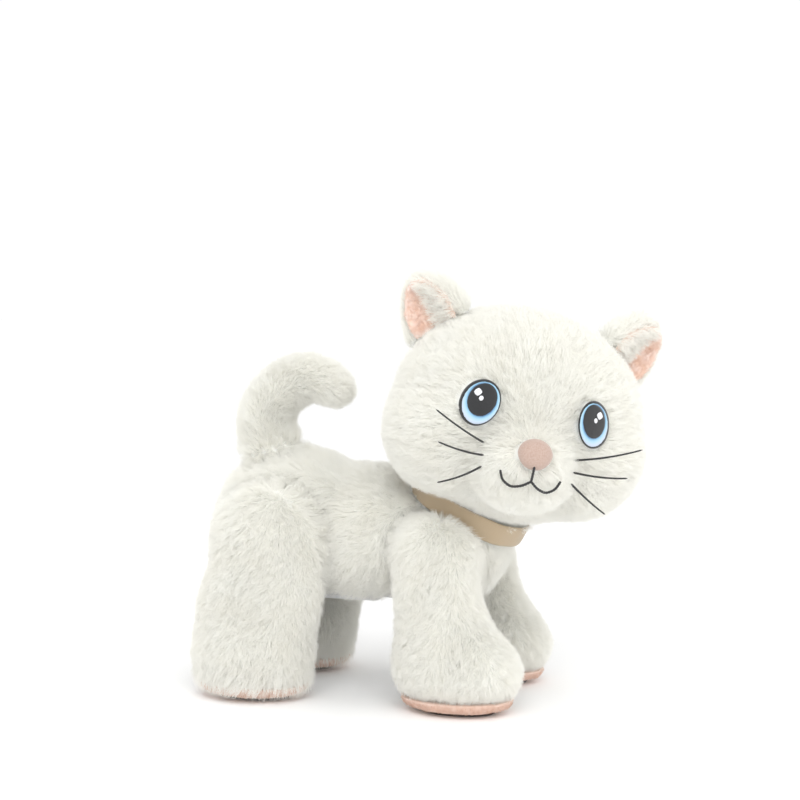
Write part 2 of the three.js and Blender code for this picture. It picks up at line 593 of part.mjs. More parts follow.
// Face
const eyeAt = { x: 34.8, z: -7, tilt: 0.1, rx: 11.8, rz: 14.4 };
const skinShell = (low, high) => cut(headShape(high), headShape(low));
for (const [sideName, side] of SIDES) {
  const outline = new THREE.CylinderGeometry(1, 1, 60, 24).scale(eyeAt.rx, 1, eyeAt.rz)
    .rotateY(side * eyeAt.tilt).translate(side * eyeAt.x, -60, eyeAt.z);
  add('eye_' + sideName, skinShell(GAP, 1.8).intersect(solid(outline)), 'eye', head);
}
const noseAt = V(0, faceY(0, -33) + 2.5, -33);
add('nose', cut(ball(noseAt, 10.5, 8, 9, 14, 10), headShape(GAP)), 'pink', head);

const onFace = (x, z, out) => V(x, faceY(x, z) - out, z);
const THREAD_R = 0.8;
const mouthLine = (points) => cord(points.map(([x, z]) => onFace(x, z, THREAD_R + 0.6)), THREAD_R, 7, 5);
const ARC = [[0, -49], [4.6, -52.3], [10.6, -53.6], [16, -50.4], [18.2, -45]];
const mouthArc = (side) => mouthLine(ARC.map(([x, z]) => [side * x, z]));
const mouthStem = mouthLine([[0, -38], [0, -44], [0, -49.2]]);
add('mouth_stitching', cut(join(mouthArc(1), mouthArc(-1), mouthStem), headShape(GAP),
  ball(noseAt, 11, 8.5, 9.5, 14, 10)), 'thread', head);

// Three bristles on each cheek: root height, then how far the tip is out, forward and up.
const WHISKERS = [['upper', -29.5, 35, 20, 11], ['middle', -37, 30, 12, 1], ['lower', -43.5, 24, -2, -14]];
const WHISKER_ROOT_X = 27;
for (const [sideName, side] of SIDES) {
  for (const [level, z, out, forward, up] of WHISKERS) {
    const root = onFace(side * WHISKER_ROOT_X, z, 1);
    const tip = root.clone().add(V(side * out, -forward, up));
    const middle = root.clone().lerp(tip, 0.5).add(V(0, -3, -1.5));
    add('whisker_' + level + '_' + sideName, cord([root, middle, tip], 0.6, 6, 5), 'thread', head);
  }
}

// Ears: rounded triangles with a scooped front, lined in short pink pile.
const EAR = { width: 49, height: 45, thick: 14 };
function earOutline(inset) {
  const [w, h] = [EAR.width / 2 - inset, EAR.height - inset];
  const shape = new THREE.Shape();
  shape.moveTo(-w, -12);
  shape.bezierCurveTo(-w * 1.02, h * 0.45, -w * 0.5, h, 0, h);
  shape.bezierCurveTo(w * 0.5, h, w * 1.02, h * 0.45, w, -12);
  shape.closePath();
  return shape;
}
function earPlate(inset, depth, bevel) {
  return new THREE.ExtrudeGeometry(earOutline(inset + bevel), {
    depth: depth - 2 * bevel, curveSegments: 6, bevelEnabled: bevel > 0,
    bevelSize: bevel, bevelThickness: bevel, bevelSegments: 1,
  }).rotateX(Math.PI / 2).translate(0, depth / 2 - bevel, 0);
}
for (const [sideName, side] of SIDES) {
  const ear = new THREE.Group();
  ear.position.set(side * 52, -3, 36.2);
  ear.rotation.set(0, side * 0.6, side * 0.6, 'YZX');
  ear.updateMatrix();
  head.add(ear);
  const inEar = (geometry) => geometry.applyMatrix4(ear.matrix.clone().invert());
  const scoop = (more) => ball(V(0, -EAR.thick / 2 - 6, 18), 19 + more, 13 + more, 27 + more, 12, 8);
  const headInEar = solid(inEar(geometryOf(headShape(GAP))));
  add('ear_' + sideName, cut(earPlate(0, EAR.thick, 3.5), scoop(0), headInEar), 'fur', ear);
  const lining = cut(scoop(-GAP), scoop(-2.4), headInEar).intersect(solid(earPlate(3.5, EAR.thick + 2, 0)));
  add('ear_lining_' + sideName, lining, 'pink', ear);
}

// The origin is under the middle of the kitten's box, on the floor.
const size = new THREE.Box3().setFromObject(pet, true);
const middle = size.getCenter(V(0, 0, 0));
pet.position.set(-middle.x, -middle.y, -size.min.z);

export default pet;
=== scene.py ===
import math

import bmesh
import bpy
import numpy as np
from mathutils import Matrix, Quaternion, Vector
from mathutils.bvhtree import BVHTree


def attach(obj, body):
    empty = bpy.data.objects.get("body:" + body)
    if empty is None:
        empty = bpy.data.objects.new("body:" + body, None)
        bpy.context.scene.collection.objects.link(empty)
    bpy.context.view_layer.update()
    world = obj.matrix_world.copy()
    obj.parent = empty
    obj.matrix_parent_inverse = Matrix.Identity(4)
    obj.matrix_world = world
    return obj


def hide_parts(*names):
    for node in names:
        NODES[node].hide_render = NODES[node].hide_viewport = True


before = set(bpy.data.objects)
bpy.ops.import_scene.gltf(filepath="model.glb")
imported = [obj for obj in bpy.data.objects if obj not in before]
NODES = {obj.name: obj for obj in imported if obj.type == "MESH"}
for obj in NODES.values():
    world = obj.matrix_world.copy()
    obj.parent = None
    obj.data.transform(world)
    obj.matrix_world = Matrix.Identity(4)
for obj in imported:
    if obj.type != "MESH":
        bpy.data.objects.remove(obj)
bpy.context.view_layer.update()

MM = 0.001
SHIFT = np.array([16.451, 37.390, 0.0])  # from the design frame, centred between the paws, to the row frame
SIDES = (("right", -1), ("left", 1))
PAWS = [(f, s) for f in ("front", "hind") for s in ("right", "left")]


def place(x, y, z):
    """A point of the design frame, in mm, as a point of the row frame in metres."""
    return (np.array([x, y, z], float) + SHIFT) * MM


# ------------------------------------------------------------------ materials
def linear(rgb):
    """A screen colour of 0 to 255 as the linear one that a shader takes."""
    c = np.array(rgb, float) / 255
    return tuple(np.where(c <= 0.04045, c / 12.92, ((c + 0.055) / 1.055) ** 2.4)) + (1.0,)


BANDS = 3.18  # bands that a wave texture of scale 1 lays in a unit of length


def material(name, rgb, rough=0.8, metallic=0.0, sheen=0.0, speckle=None, weave=None, lay=None):
    """A Principled material, with procedural colour and bump from a speckle or a weave of threads."""
    m = bpy.data.materials.new(name)
    m.use_nodes = True
    nt = m.node_tree
    b = nt.nodes["Principled BSDF"]
    b.inputs["Base Color"].default_value = linear(rgb)
    b.inputs["Roughness"].default_value = rough
    b.inputs["Metallic"].default_value = metallic
    b.inputs["Sheen Weight"].default_value = sheen
    where = nt.nodes.new("ShaderNodeTexCoord").outputs["Object"]
    if lay:  # the mesh's own record of how its threads lie, in mm
        record = nt.nodes.new("ShaderNodeAttribute")
        record.attribute_name = lay
        where = record.outputs["Vector"]
    if speckle:
        speckled(nt, b, where, rgb, *speckle)
    if weave:
        woven(nt, b, where, rgb, *weave)
    return m


def speckled(nt, b, where, rgb, scale, other, bump):
    """Mottled colour between two tones, with a fine bump."""
    noise = nt.nodes.new("ShaderNodeTexNoise")
    noise.inputs["Scale"].default_value = scale
    noise.inputs["Detail"].default_value = 4
    nt.links.new(where, noise.inputs["Vector"])
    ramp = nt.nodes.new("ShaderNodeValToRGB")
    dark, light = ramp.color_ramp.elements
    dark.position, dark.color = 0.36, linear(other)
    light.position, light.color = 0.62, linear(rgb)
    nt.links.new(noise.outputs["Fac"], ramp.inputs["Fac"])
    nt.links.new(ramp.outputs["Color"], b.inputs["Base Color"])
    bumped(nt, b, noise.outputs["Fac"], bump)


def woven(nt, b, where, rgb, pitch, other, bump, axes):
    """One set of threads, or two that cross, each as bands along an axis."""
    waves = []
    for direction in axes:
        wave = nt.nodes.new("ShaderNodeTexWave")
        wave.bands_direction = direction
        wave.inputs["Scale"].default_value = 1 / (pitch * BANDS)
        wave.inputs["Distortion"].default_value = 0.4
        wave.inputs["Detail"].default_value = 1
        nt.links.new(where, wave.inputs["Vector"])
        waves.append(wave.outputs["Fac"])
    height = waves[0]
    if len(waves) > 1:
        both = nt.nodes.new("ShaderNodeMath")
        both.operation = "MULTIPLY"
        nt.links.new(waves[0], both.inputs[0])
        nt.links.new(waves[1], both.inputs[1])
        height = both.outputs[0]
    mix = nt.nodes.new("ShaderNodeMix")
    mix.data_type = "RGBA"
    nt.links.new(height, mix.inputs["Factor"])
    mix.inputs["A"].default_value = linear(other)
    mix.inputs["B"].default_value = linear(rgb)
    nt.links.new(mix.outputs["Result"], b.inputs["Base Color"])
    bumped(nt, b, height, bump)


def bumped(nt, b, height, amount):
    """A bump of some mm from a height of 0 to 1."""
    bump = nt.nodes.new("ShaderNodeBump")
    bump.inputs["Strength"].default_value = 0.6
    bump.inputs["Distance"].default_value = amount * MM
    nt.links.new(height, bump.inputs["Height"])
    nt.links.new(bump.outputs["Normal"], b.inputs["Normal"])


def strand_material(name, rgb, other, scale):
    """Pile that passes some of the light through, so that the fur looks soft and not chalky."""
    m = bpy.data.materials.new(name)
    m.use_nodes = True
    nt = m.node_tree
    nt.nodes.remove(nt.nodes["Principled BSDF"])
    noise = nt.nodes.new("ShaderNodeTexNoise")
    noise.inputs["Scale"].default_value = scale
    nt.links.new(nt.nodes.new("ShaderNodeTexCoord").outputs["Object"], noise.inputs["Vector"])
    mix = nt.nodes.new("ShaderNodeMix")
    mix.data_type = "RGBA"
    nt.links.new(noise.outputs["Fac"], mix.inputs["Factor"])
    mix.inputs["A"].default_value = linear(other)
    mix.inputs["B"].default_value = linear(rgb)
    diffuse = nt.nodes.new("ShaderNodeBsdfDiffuse")
    through = nt.nodes.new("ShaderNodeBsdfTranslucent")
    both = nt.nodes.new("ShaderNodeMixShader")
    both.inputs["Fac"].default_value = 0.42
    for shader, at in ((diffuse, 1), (through, 2)):
        nt.links.new(mix.outputs["Result"], shader.inputs["Color"])
        nt.links.new(shader.outputs["BSDF"], both.inputs[at])
    nt.links.new(both.outputs["Shader"], nt.nodes["Material Output"].inputs["Surface"])
    return m


# the ground under the pile is a little greyer than the white strands: painted shade, standing in for the
# shade deep among the strands
FUR = material("fur_ground", (232, 232, 228), 0.95, sheen=0.2, speckle=(150, (228, 228, 223), 0.3))
STRAND = strand_material("fur_strand", (255, 255, 252), (253, 252, 247), 60)
PINK = material("pink_pile", (226, 197, 182), 0.9, sheen=0.4, speckle=(260, (216, 182, 164), 0.2))
PINK_STRAND = strand_material("pink_strand", (230, 206, 192), (220, 190, 172), 200)
EAR_PINK = material("ear_pink_pile", (238, 221, 213), 0.9, sheen=0.4, speckle=(160, (232, 204, 186), 0.3))
EAR_STRAND = strand_material("ear_pink_strand", (244, 229, 222), (240, 216, 200), 140)
NOSE = material("nose_flock", (186, 163, 151), 0.85, sheen=0.4, speckle=(1100, (178, 152, 139), 0.1))
RIBBON = material("ribbon_weave", (200, 181, 152), 0.6, sheen=0.3,
                  weave=(0.75, (178, 157, 128), 0.2, ("X", "Y")), lay="weave")
THREAD = material("black_thread", (20, 20, 22), 0.45, sheen=0.4, speckle=(900, (9, 9, 11), 0.08))
PUPIL = material("pupil_satin", (26, 28, 32), 0.38, sheen=0.3, weave=(0.5 * MM, (12, 13, 15), 0.12, ("Z",)))
GLINT = material("glint_satin", (250, 250, 252), 0.4, weave=(0.5 * MM, (222, 224, 230), 0.08, ("Z",)))
RUBBER = material("rubber_sole", (44, 40, 38), 0.8, speckle=(500, (34, 31, 30), 0.1))
CASING = material("casing_plastic", (224, 225, 228), 0.5, speckle=(1500, (216, 217, 221), 0.03))
GEAR = material("gear_plastic", (238, 235, 226), 0.35, speckle=(900, (230, 226, 216), 0.02))
BLACK = material("black_plastic", (34, 34, 37), 0.5, speckle=(1200, (26, 26, 29), 0.04))
STEEL = material("bright_steel", (190, 192, 196), 0.28, metallic=1.0, speckle=(700, (170, 172, 177), 0.02))
BOARD = material("circuit_board", (38, 92, 58), 0.45, speckle=(260, (28, 74, 45), 0.03))
CELL = material("battery_jacket", (62, 78, 110), 0.35, metallic=0.3, speckle=(200, (54, 68, 98), 0.01))


def iris_material():
    """Blue thread that pales from the pupil's edge to the rim, read from the mesh's own rim value."""
    m = bpy.data.materials.new("iris_satin")
    m.use_nodes = True
    nt = m.node_tree
    b = nt.nodes["Principled BSDF"]
    b.inputs["Roughness"].default_value = 0.42
    b.inputs["Sheen Weight"].default_value = 0.3
    at = nt.nodes.new("ShaderNodeAttribute")
    at.attribute_name = "rim"
    ramp = nt.nodes.new("ShaderNodeValToRGB")
    stops = [(0.0, (78, 116, 158)), (0.15, (136, 184, 214)), (0.5, (172, 208, 226)), (1.0, (198, 212, 230))]
    for i, (at_, rgb) in enumerate(stops):
        e = ramp.color_ramp.elements[i] if i < 2 else ramp.color_ramp.elements.new(at_)
        e.position = at_
        e.color = linear(rgb)
    nt.links.new(at.outputs["Fac"], ramp.inputs["Fac"])
    nt.links.new(ramp.outputs["Color"], b.inputs["Base Color"])
    wave = nt.nodes.new("ShaderNodeTexWave")
    wave.bands_direction = "Z"
    wave.inputs["Scale"].default_value = 1 / (0.5 * MM * BANDS)
    nt.links.new(nt.nodes.new("ShaderNodeTexCoord").outputs["Object"], wave.inputs["Vector"])
    bumped(nt, b, wave.outputs["Fac"], 0.1)
    return m


IRIS = iris_material()


# ------------------------------------------------------------------ meshes
def new_object(name, verts, faces, mat, smooth=True):
    mesh = bpy.data.meshes.new(name)
    mesh.from_pydata([tuple(v) for v in verts], [], faces)
    mesh.validate()
    mesh.materials.append(mat)
    if smooth:
        mesh.shade_smooth()
    o = bpy.data.objects.new(name, mesh)
    bpy.context.scene.collection.objects.link(o)
    return o


def outward(o, weld=0.0):
    """Faces a closed mesh outward, once any vertices within the weld distance are joined."""
    bm = bmesh.new()
    bm.from_mesh(o.data)
    if weld:
        bmesh.ops.remove_doubles(bm, verts=bm.verts, dist=weld)
    bmesh.ops.recalc_face_normals(bm, faces=bm.faces)
    bm.to_mesh(o.data)
    bm.free()


def resampled(points, samples, rounds):
    """Evenly spaced points on a line with its corners rounded off, and how far along it they lie."""
    pts = np.array(points, float)
    run = np.concatenate([[0], np.cumsum(np.linalg.norm(np.diff(pts, axis=0), axis=1))])
    s = np.linspace(0, run[-1], samples)
    fine = np.stack([np.interp(s, run, pts[:, i]) for i in range(pts.shape[1])], 1)
    for _ in range(rounds):
        fine[1:-1] = (fine[:-2] + 2 * fine[1:-1] + fine[2:]) / 4
    return fine, s


def coords(o):
    co = np.zeros(len(o.data.vertices) * 3, np.float32)
    o.data.vertices.foreach_get("co", co)
    return co.reshape(-1, 3).astype(float)


def set_coords(o, co):
    o.data.vertices.foreach_set("co", co.astype(np.float32).ravel())
    o.data.update()


def normals(o):
    n = np.zeros(len(o.data.vertices) * 3, np.float32)
    o.data.vertex_normals.foreach_get("vector", n)
    return n.reshape(-1, 3).astype(float)


def triangles(o):
    o.data.calc_loop_triangles()
    t = np.zeros(len(o.data.loop_triangles) * 3, np.int32)
    o.data.loop_triangles.foreach_get("vertices", t)
    return t.reshape(-1, 3)


def wobble(p, size, seed):
    """Smooth noise from sums of sines, about -1 to 1, for points in metres and lumps of a size in metres."""
    r = np.random.default_rng(seed)
    total = np.zeros(len(p))
    for _ in range(9):
        k = r.normal(size=3)
        k = k / np.linalg.norm(k) * (2 * math.pi / size) * r.uniform(0.7, 1.4)
        total += np.sin(p @ k + r.uniform(0, 2 * math.pi))
    return total / 3.0


def scene_tree(nodes):
    """One search tree of several CAD nodes at rest."""
    verts, faces = [], []
    for n in nodes:
        base = len(verts)
        verts += [tuple(v.co) for v in NODES[n].data.vertices]
        faces += [tuple(base + i for i in p.vertices) for p in NODES[n].data.polygons]
    return BVHTree.FromPolygons(verts, faces)


def tufts(p, flow, size, seed):
    """Height, 0 to 1, of overlapping locks of fur that run along a flow direction."""
    along = np.sum(p * flow, axis=1)
    across = wobble(p, size * 0.9, seed)
    waves = np.sin(along * (2 * math.pi / (size * 2.6)) + 3.0 * across + 1.7 * wobble(p, size * 3, seed + 1))
    return 0.5 + 0.5 * waves * np.clip(0.6 + 0.6 * wobble(p, size * 1.4, seed + 2), 0, 1)


def remeshed(node, name, voxel, mat, smooth=12):
    """A finer, rounder copy of a CAD node's mesh, as a new object."""
    o = bpy.data.objects.new(name, NODES[node].data.copy())
    bpy.context.scene.collection.objects.link(o)
    weld = o.modifiers.new("weld", "WELD")
    weld.merge_threshold = 1e-5
    re = o.modifiers.new("remesh", "REMESH")
    re.mode = "VOXEL"
    re.voxel_size = voxel
    re.use_smooth_shade = True
    sm = o.modifiers.new("smooth", "SMOOTH")
    sm.factor = 0.6
    sm.iterations = smooth
    bpy.context.view_layer.update()
    made = bpy.data.meshes.new_from_object(o.evaluated_get(bpy.context.evaluated_depsgraph_get()))
    made.name = name
    o.modifiers.clear()
    old = o.data
    o.data = made
    bpy.data.meshes.remove(old)
    made.materials.clear()
    made.materials.append(mat)
    made.shade_smooth()
    return o


def unit(v):
    return v / np.maximum(np.linalg.norm(v, axis=-1, keepdims=True), 1e-9)


def eased(o, rounds):
    """Vertex normals averaged with their neighbours', so that pile lies evenly over flats and edges."""
    e = np.zeros(len(o.data.edges) * 2, np.int32)
    o.data.edges.foreach_get("vertices", e)
    e = e.reshape(-1, 2)
    no = normals(o)
    for _ in range(rounds):
        total = no.copy()
        for axis in range(3):
            total[:, axis] += np.bincount(e[:, 0], no[e[:, 1], axis], len(no))
            total[:, axis] += np.bincount(e[:, 1], no[e[:, 0], axis], len(no))
        no = unit(total)
    return no


def reach_of(p, n, trees, limit):
    """How far each point can go along its normal before it meets something, up to a limit."""
    out = np.full(len(p), limit)
    for i in range(len(p)):
        start = Vector(p[i] + n[i] * 0.0004)
        ray = Vector(n[i])
        for t in trees:
            hit = t.ray_cast(start, ray, limit)
            if hit[0] is not None and hit[3] < out[i]:
                out[i] = hit[3]
    return out


def openness(room):
    """0 where something lies within 1 mm of a surface, rising to 1 where nothing does within 5 mm."""
    return np.clip((room / MM - 1.0) / 4, 0, 1)


TAPER = np.array([1.0, 1.0, 0.85, 0.6, 0.15])  # a strand's radius from root to tip
ROOT_ROOM = 0.0013  # a strand grows only where it has this much room, in metres
ROOT_DEPTH = 0.0006  # how far under the surface it starts
LOCK_PULL = 0.07  # how far its tip is drawn toward the middle of its lock
UPRIGHT, LAID = 0.15, 1.35  # the least and the most that it leans, in radians


def hair(name, body, o, flow, length, per_mm2, radius, mat, room, lean=0.75, clump=6.0, seed=1,
         frizz=0.14, grow=None, gate=None, rise=None, ease=3):
    """Strands spread evenly on a mesh, bent along a flow, in locks, and shorter where room is short."""
    r = np.random.default_rng(seed)
    co, no, tri = coords(o), eased(o, ease), triangles(o)
    a, b, c = co[tri[:, 0]], co[tri[:, 1]], co[tri[:, 2]]
    area = 0.5 * np.linalg.norm(np.cross(b - a, c - a), axis=1)
    free = (room if gate is None else gate)[tri].min(axis=1)
    weight = area * (free > ROOT_ROOM)
    count = int(weight.sum() * 1e6 * per_mm2)
    pick = r.choice(len(tri), size=count, p=weight / weight.sum())
    u, v = r.random(count), r.random(count)
    flip = u + v > 1
    u[flip], v[flip] = 1 - u[flip], 1 - v[flip]
    w = 1 - u - v
    t = tri[pick]

    def blend(values):
        shape = (-1,) + (1,) * (values.ndim - 1)
        return (values[t[:, 0]] * w.reshape(shape) + values[t[:, 1]] * u.reshape(shape)
                + values[t[:, 2]] * v.reshape(shape))

    root, n = blend(co), unit(blend(no))
    f = blend(flow)
    f = f - n * np.sum(f * n, axis=1, keepdims=True)
    f = unit(f)
    side = np.cross(n, f)
    lim = blend(room)
    size = clump * MM
    swirl = wobble(root, size * 4, seed + 5) * 0.34 + wobble(root, size * 1.1, seed + 6) * 0.26
    swirl += r.normal(size=count) * 0.2
    f = f * np.cos(swirl)[:, None] + side * np.sin(swirl)[:, None]
    tall = length * MM * (0.70 + 0.30 * r.random(count)) * (1 + 0.05 * wobble(root, size * 1.5, seed + 7))
    if grow is not None:
        tall = tall * blend(grow)
    tall = np.minimum(tall, np.maximum(lim * 0.9, 0.0005))
    tilt = lean * (1 + 0.06 * wobble(root, size * 2.3, seed + 8)) + r.normal(size=count) * 0.10
    if rise is not None:
        tilt = tilt * blend(rise)
    tilt = np.clip(tilt, UPRIGHT, LAID)
    steps = len(TAPER)
    pts = np.zeros((count, steps, 3))
    pts[:, 0] = root - n * ROOT_DEPTH
    here = pts[:, 0].copy()
    jitter = r.normal(size=(count, 3)) * frizz
    for k in range(1, steps):
        bend = tilt * (0.45 + 0.75 * k / (steps - 1))
        d = n * np.cos(bend)[:, None] + f * np.sin(bend)[:, None]
        d = unit(d + jitter * (k / (steps - 1)))
        here = here + d * (tall / (steps - 1))[:, None]
        pts[:, k] = here
    # locks: the strands of one uneven cell lean together
    uneven = np.stack([wobble(root, size * 2, seed + 9 + i) for i in range(3)], 1)
    cell = np.floor((root + 0.35 * size * uneven) / size)
    key = (cell @ np.array([1.0, 733.0, 179321.0])).astype(np.int64)
    _, inverse, counts = np.unique(key, return_inverse=True, return_counts=True)
    for k in range(2, steps):
        mean = np.zeros((len(counts), 3))
        for axis in range(3):
            mean[:, axis] = np.bincount(inverse, pts[:, k, axis], len(counts)) / counts
        pull = LOCK_PULL * ((k - 1) / (steps - 2)) ** 1.5
        pts[:, k] += (mean[inverse] - pts[:, k]) * pull
    data = bpy.data.hair_curves.new(name)
    data.add_curves([steps] * count)
    data.attributes["position"].data.foreach_set("vector", pts.astype(np.float32).ravel())
    rad = data.attributes.get("radius") or data.attributes.new("radius", "FLOAT", "POINT")
    rad.data.foreach_set("value", np.tile(TAPER * radius * MM, count).astype(np.float32))
    data.materials.append(mat)
    h = bpy.data.objects.new(name, data)
    bpy.context.scene.collection.objects.link(h)
    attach(h, body)


# ------------------------------------------------------------------ the head's own frame
NECK = place(0, -64, 121)  # the middle of the collar
LEAN = math.radians(28)  # the neck's lean toward the front
AXIS = np.array([0, -math.sin(LEAN), math.cos(LEAN)])
HEAD = place(-9.5, -96, 181)  # the middle of the head
HEAD_TURN = Quaternion(Vector((0.07, -0.265, 0.962)).normalized(), math.radians(-67))
HEAD_R = np.array(HEAD_TURN.to_matrix())
# the skull and the cheeks and muzzle as ovals: centre and half sizes, in mm of the head's own frame
OVALS = [((0, 0, 0), (79, 66, 67)), ((36, -3, -16), (46, 52, 44)), ((-36, -3, -16), (46, 52, 44)),
         ((0, -44, -38), (31, 29, 27))]


def face_y(x, z):
    """The y of the face's front, in mm of the head's own frame."""
    x, z = np.asarray(x, float), np.asarray(z, float)
    y = np.zeros(np.broadcast(x, z).shape)
    for at, r in OVALS:
        left = 1 - ((x - at[0]) / r[0]) ** 2 - ((z - at[2]) / r[2]) ** 2
        y = np.minimum(y, np.where(left > 0, at[1] - r[1] * np.sqrt(np.maximum(left, 0)), 0))
    return y


def soft_face_y(x, z):
    """The face's front with the seams between its ovals eased."""
    total = 0
    for dx, dz in ((0, 0), (3, 0), (-3, 0), (0, 3), (0, -3)):
        total = total + face_y(x + dx, z + dz)
    return total / 5


def from_head(p):
    """Points of the head's own frame, in mm, as points of the row frame in metres."""
    return (np.asarray(p, float) * MM) @ HEAD_R.T + HEAD


# ------------------------------------------------------------------ skins
def body_flow(p):
    """Back toward the tail and down the flanks, and straight down over the chest."""
    q = p / MM - SHIFT
    f = np.zeros_like(p)
    f[:, 1] = 0.9
    f[:, 2] = -0.35 - 0.4 * np.clip(np.abs(q[:, 0]) / 40, 0, 1)
    front = np.clip((-q[:, 1] - 60) / 25, 0, 1)
    f[:, 1] = f[:, 1] * (1 - front)
    f[:, 2] = f[:, 2] - front
    return f


def leg_flow(p):
    """Down, and a little toward the tail."""
    f = np.zeros_like(p)
    f[:, 2] = -1
    f[:, 1] = 0.25
    return f


def head_flow(p):
    """Away from the bridge of the nose, over the cheeks and crown."""
    q = (p - HEAD) @ HEAD_R / MM
    f = q - np.array([0, -66, -26])
    f[:, 1] *= 0.6
    return (f * MM) @ HEAD_R.T


TAIL_LINE = np.array([[0, 63, 140], [0, 72, 158], [0, 73, 176], [0, 60, 193], [0, 43, 200], [0, 27, 194]])


def tail_flow(p):
    """Along the tail's middle line from root to tip."""
    q = p / MM - SHIFT
    line = TAIL_LINE.astype(float)
    d = np.linalg.norm(q[:, None] - line[None], axis=2)
    w = np.exp(-((d - d.min(axis=1, keepdims=True)) / 8) ** 2)
    step = unit(np.gradient(line, axis=0))
    return (w[:, :, None] * step[None]).sum(axis=1)


SKINS = [
    # node, body, flow, inset mm, length mm, strands per mm2, lean, voxel mm
    ("body_skin", "chassis", body_flow, 4.0, 9.5, 3.2, 0.84, 2.6),
    ("tail_skin", "tail", tail_flow, 3.6, 8.5, 4.0, 0.80, 2.2),
    ("head_skin", "head", head_flow, 4.0, 9.0, 3.8, 0.80, 2.4),
] + [(f"leg_skin_{f}_{s}", f"leg_{f}_{s}", leg_flow, 4.0, 9.0, 3.4, 0.84, 2.4) for f, s in PAWS]
LEG_SKINS = [n for n in NODES if n.startswith("leg_skin")]
HARD_REACH, OWN_REACH, SOFT_REACH = 0.022, 0.018, 0.016  # how far pile looks for what is near, in metres
# the ruff behind the collar: along the neck's axis from its middle and out from it in mm, then its pile
RUFF = dict(start=3, rise=4, inner=18, outer=44, upright=0.75, longer=0.9)
PAW_CUT = 10.0  # the leg skins stay above this height, in mm, clear of the pads
HEM_TOP, HEM = 24, 8  # the hem's top and depth, in mm


def nearest(p, tree, limit):
    """Distance and unit direction from each point to the closest point of a tree, within a limit."""
    d, way = np.full(len(p), limit), np.zeros_like(p)
    for i in range(len(p)):
        hit = tree.find_nearest(Vector(p[i]), limit)
        if hit[0] is not None:
            d[i] = hit[3]
            way[i] = np.array(hit[0]) - p[i]
    return d, unit(way)


def neighbours(node):
    """The soft nodes that a skin's pile may lean over, and the other nodes that limit its length."""
    soft = ["body_skin"]
    if node == "body_skin":
        soft = LEG_SKINS + ["tail_skin"]
    if node == "head_skin":
        soft = ["ear_right", "ear_left"]
    apart = ("whisker", "mouth", "leg_frame", "leg_axle", "paw")
    return soft, [n for n in NODES if n != node and n not in soft and not n.startswith(apart)]


def skin(node, body, flow_of, inset, length, density, lean, voxel):
    """A fur skin's ground mesh, set back from its solid, with its pile."""
    o = remeshed(node, node.replace("_skin", "_fur"), voxel * MM, FUR, smooth=20)
    co, no = coords(o), eased(o, 45)
    soft, hard = neighbours(node)
    room = reach_of(co, no, [scene_tree(hard)], HARD_REACH)
    own = reach_of(co, no, [BVHTree.FromPolygons(co.tolist(), triangles(o).tolist())], OWN_REACH)
    room = np.minimum(room, own)
    by = scene_tree(soft)
    gate = np.minimum(room, reach_of(co, no, [by], SOFT_REACH))
    near, toward = nearest(co, by, OWN_REACH)
    close = np.clip(1 - (near / MM - 2) / 11, 0, 1)
    flow = unit(flow_of(co))
    flat = np.zeros(len(co))
    if node != "head_skin":  # beside a seam the pile leans over it
        over = toward - no * np.sum(toward * no, axis=1, keepdims=True)
        flow = flow * (1 - 0.8 * close)[:, None] + unit(over) * (0.8 * close)[:, None]
        flat = close
    flow = flow - no * np.sum(flow * no, axis=1, keepdims=True)
    flow = unit(flow)
    relief = tufts(co, flow, 0.008, 40) * 0.3 + 0.2 * wobble(co, 0.007, 60)
    outer = openness(room)
    move = -0.3 - (inset - 0.3) * outer * (1 - 0.45 * flat) + relief * outer
    co2 = co + no * (move * MM)[:, None]
    if node.startswith("leg"):
        co2[:, 2] = np.maximum(co2[:, 2], PAW_CUT * MM)
    set_coords(o, co2)
    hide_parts(node)
    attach(o, body)
    grow = 1 + 0.30 * flat
    rise = 1 - 0.15 * flat
    if node == "body_skin":  # the belly's fur hangs
        belly = np.clip(-no[:, 2] - 0.3, 0, 1)
        rise = rise * (1 - 0.55 * belly)
        grow = grow + 0.6 * belly
        up = (co - NECK) @ AXIS / MM
        out = np.linalg.norm((co - NECK) / MM - up[:, None] * AXIS, axis=1)
        ruff = np.clip((up - RUFF["start"]) / RUFF["rise"], 0, 1)
        ruff = ruff * (out < RUFF["outer"]) * (out > RUFF["inner"])
        rise = rise * (1 - RUFF["upright"] * ruff)
        grow = grow + RUFF["longer"] * ruff
    if node.startswith("leg"):  # the lowest fur is long on the hind paws, and a little short on the front
        hem = np.clip((HEM_TOP - co[:, 2] / MM) / HEM, 0, 1)
        grow = grow * (1 + (0.8 if "hind" in node else -0.1) * hem)
    hair(node.replace("_skin", "_pile"), body, o, flow, length, density, 0.085, STRAND, room, lean=lean,
         seed=sum(map(ord, node)), grow=grow, gate=gate, rise=rise, ease=45)


for row in SKINS:
    skin(*row)


# ------------------------------------------------------------------ ears
EAR_AT = (52, -3, 36.2)  # in mm of the head's own frame, on its left side
EAR_TURN = 0.6


def ear_frame(p, side):
    """Points as the ear's own coordinates in mm: x across, -y out of the cup, z up."""
    c, s = math.cos(EAR_TURN), math.sin(EAR_TURN) * side
    turn = np.array([[c, 0, s], [0, 1, 0], [-s, 0, c]]) @ np.array([[c, -s, 0], [s, c, 0], [0, 0, 1]])
    at = np.array([side * EAR_AT[0], EAR_AT[1], EAR_AT[2]])
    return ((p - HEAD) @ HEAD_R / MM - at) @ turn, turn


